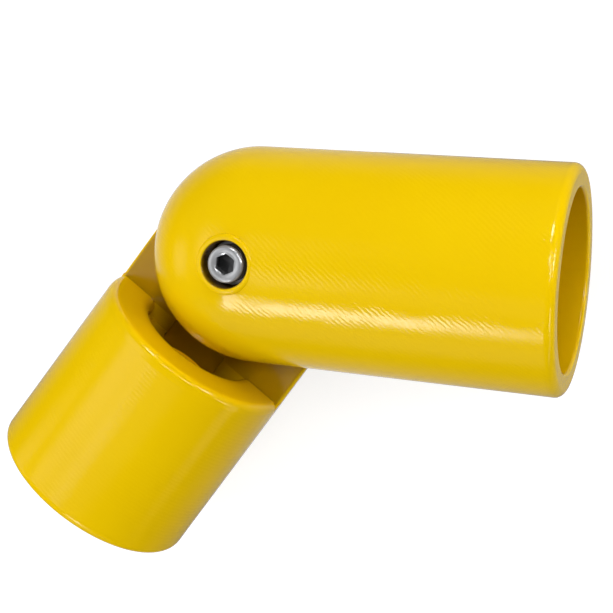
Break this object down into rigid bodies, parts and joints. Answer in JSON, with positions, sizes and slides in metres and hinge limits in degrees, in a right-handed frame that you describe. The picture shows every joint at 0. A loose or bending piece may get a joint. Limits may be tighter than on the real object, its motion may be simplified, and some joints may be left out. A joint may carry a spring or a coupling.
{
  "type": "adjustable handrail elbow",
  "caption": "Adjustable handrail elbow: yellow moulded tube sockets with half-lapped ears, joined and clamped at the set angle by a recessed stainless cap screw.",
  "frame": {"origin": "centre of the upper socket's stop, on the socket's axis, where the end of the handrail tube seats", "axes": "+X along the upper socket's axis out of its mouth, +Z along the pivot axis out of the screw head's side, +Y completes the right-handed frame"},
  "size_m": [0.1598, 0.1186, 0.062],
  "materials": {
    "yellow_moulding": "glossy safety-yellow glass-filled moulding",
    "stainless_steel": "bright stainless steel",
    "polyamide": "plain polyamide"
  },
  "bodies": {
    "upper": {"upper_arm": "yellow_moulding"},
    "lower": {"lower_arm": "yellow_moulding", "pivot_screw": "stainless_steel", "head_washer": "stainless_steel", "lock_nut": "stainless_steel", "nut_insert": "polyamide"}
  },
  "joints": [
    {"name": "knuckle", "type": "hinge", "parent": "upper", "child": "lower", "pos_m": [-0.0408, 0, 0], "axis": [0, 0, 1], "range_deg": [-145.5, 34.5]}
  ]
}
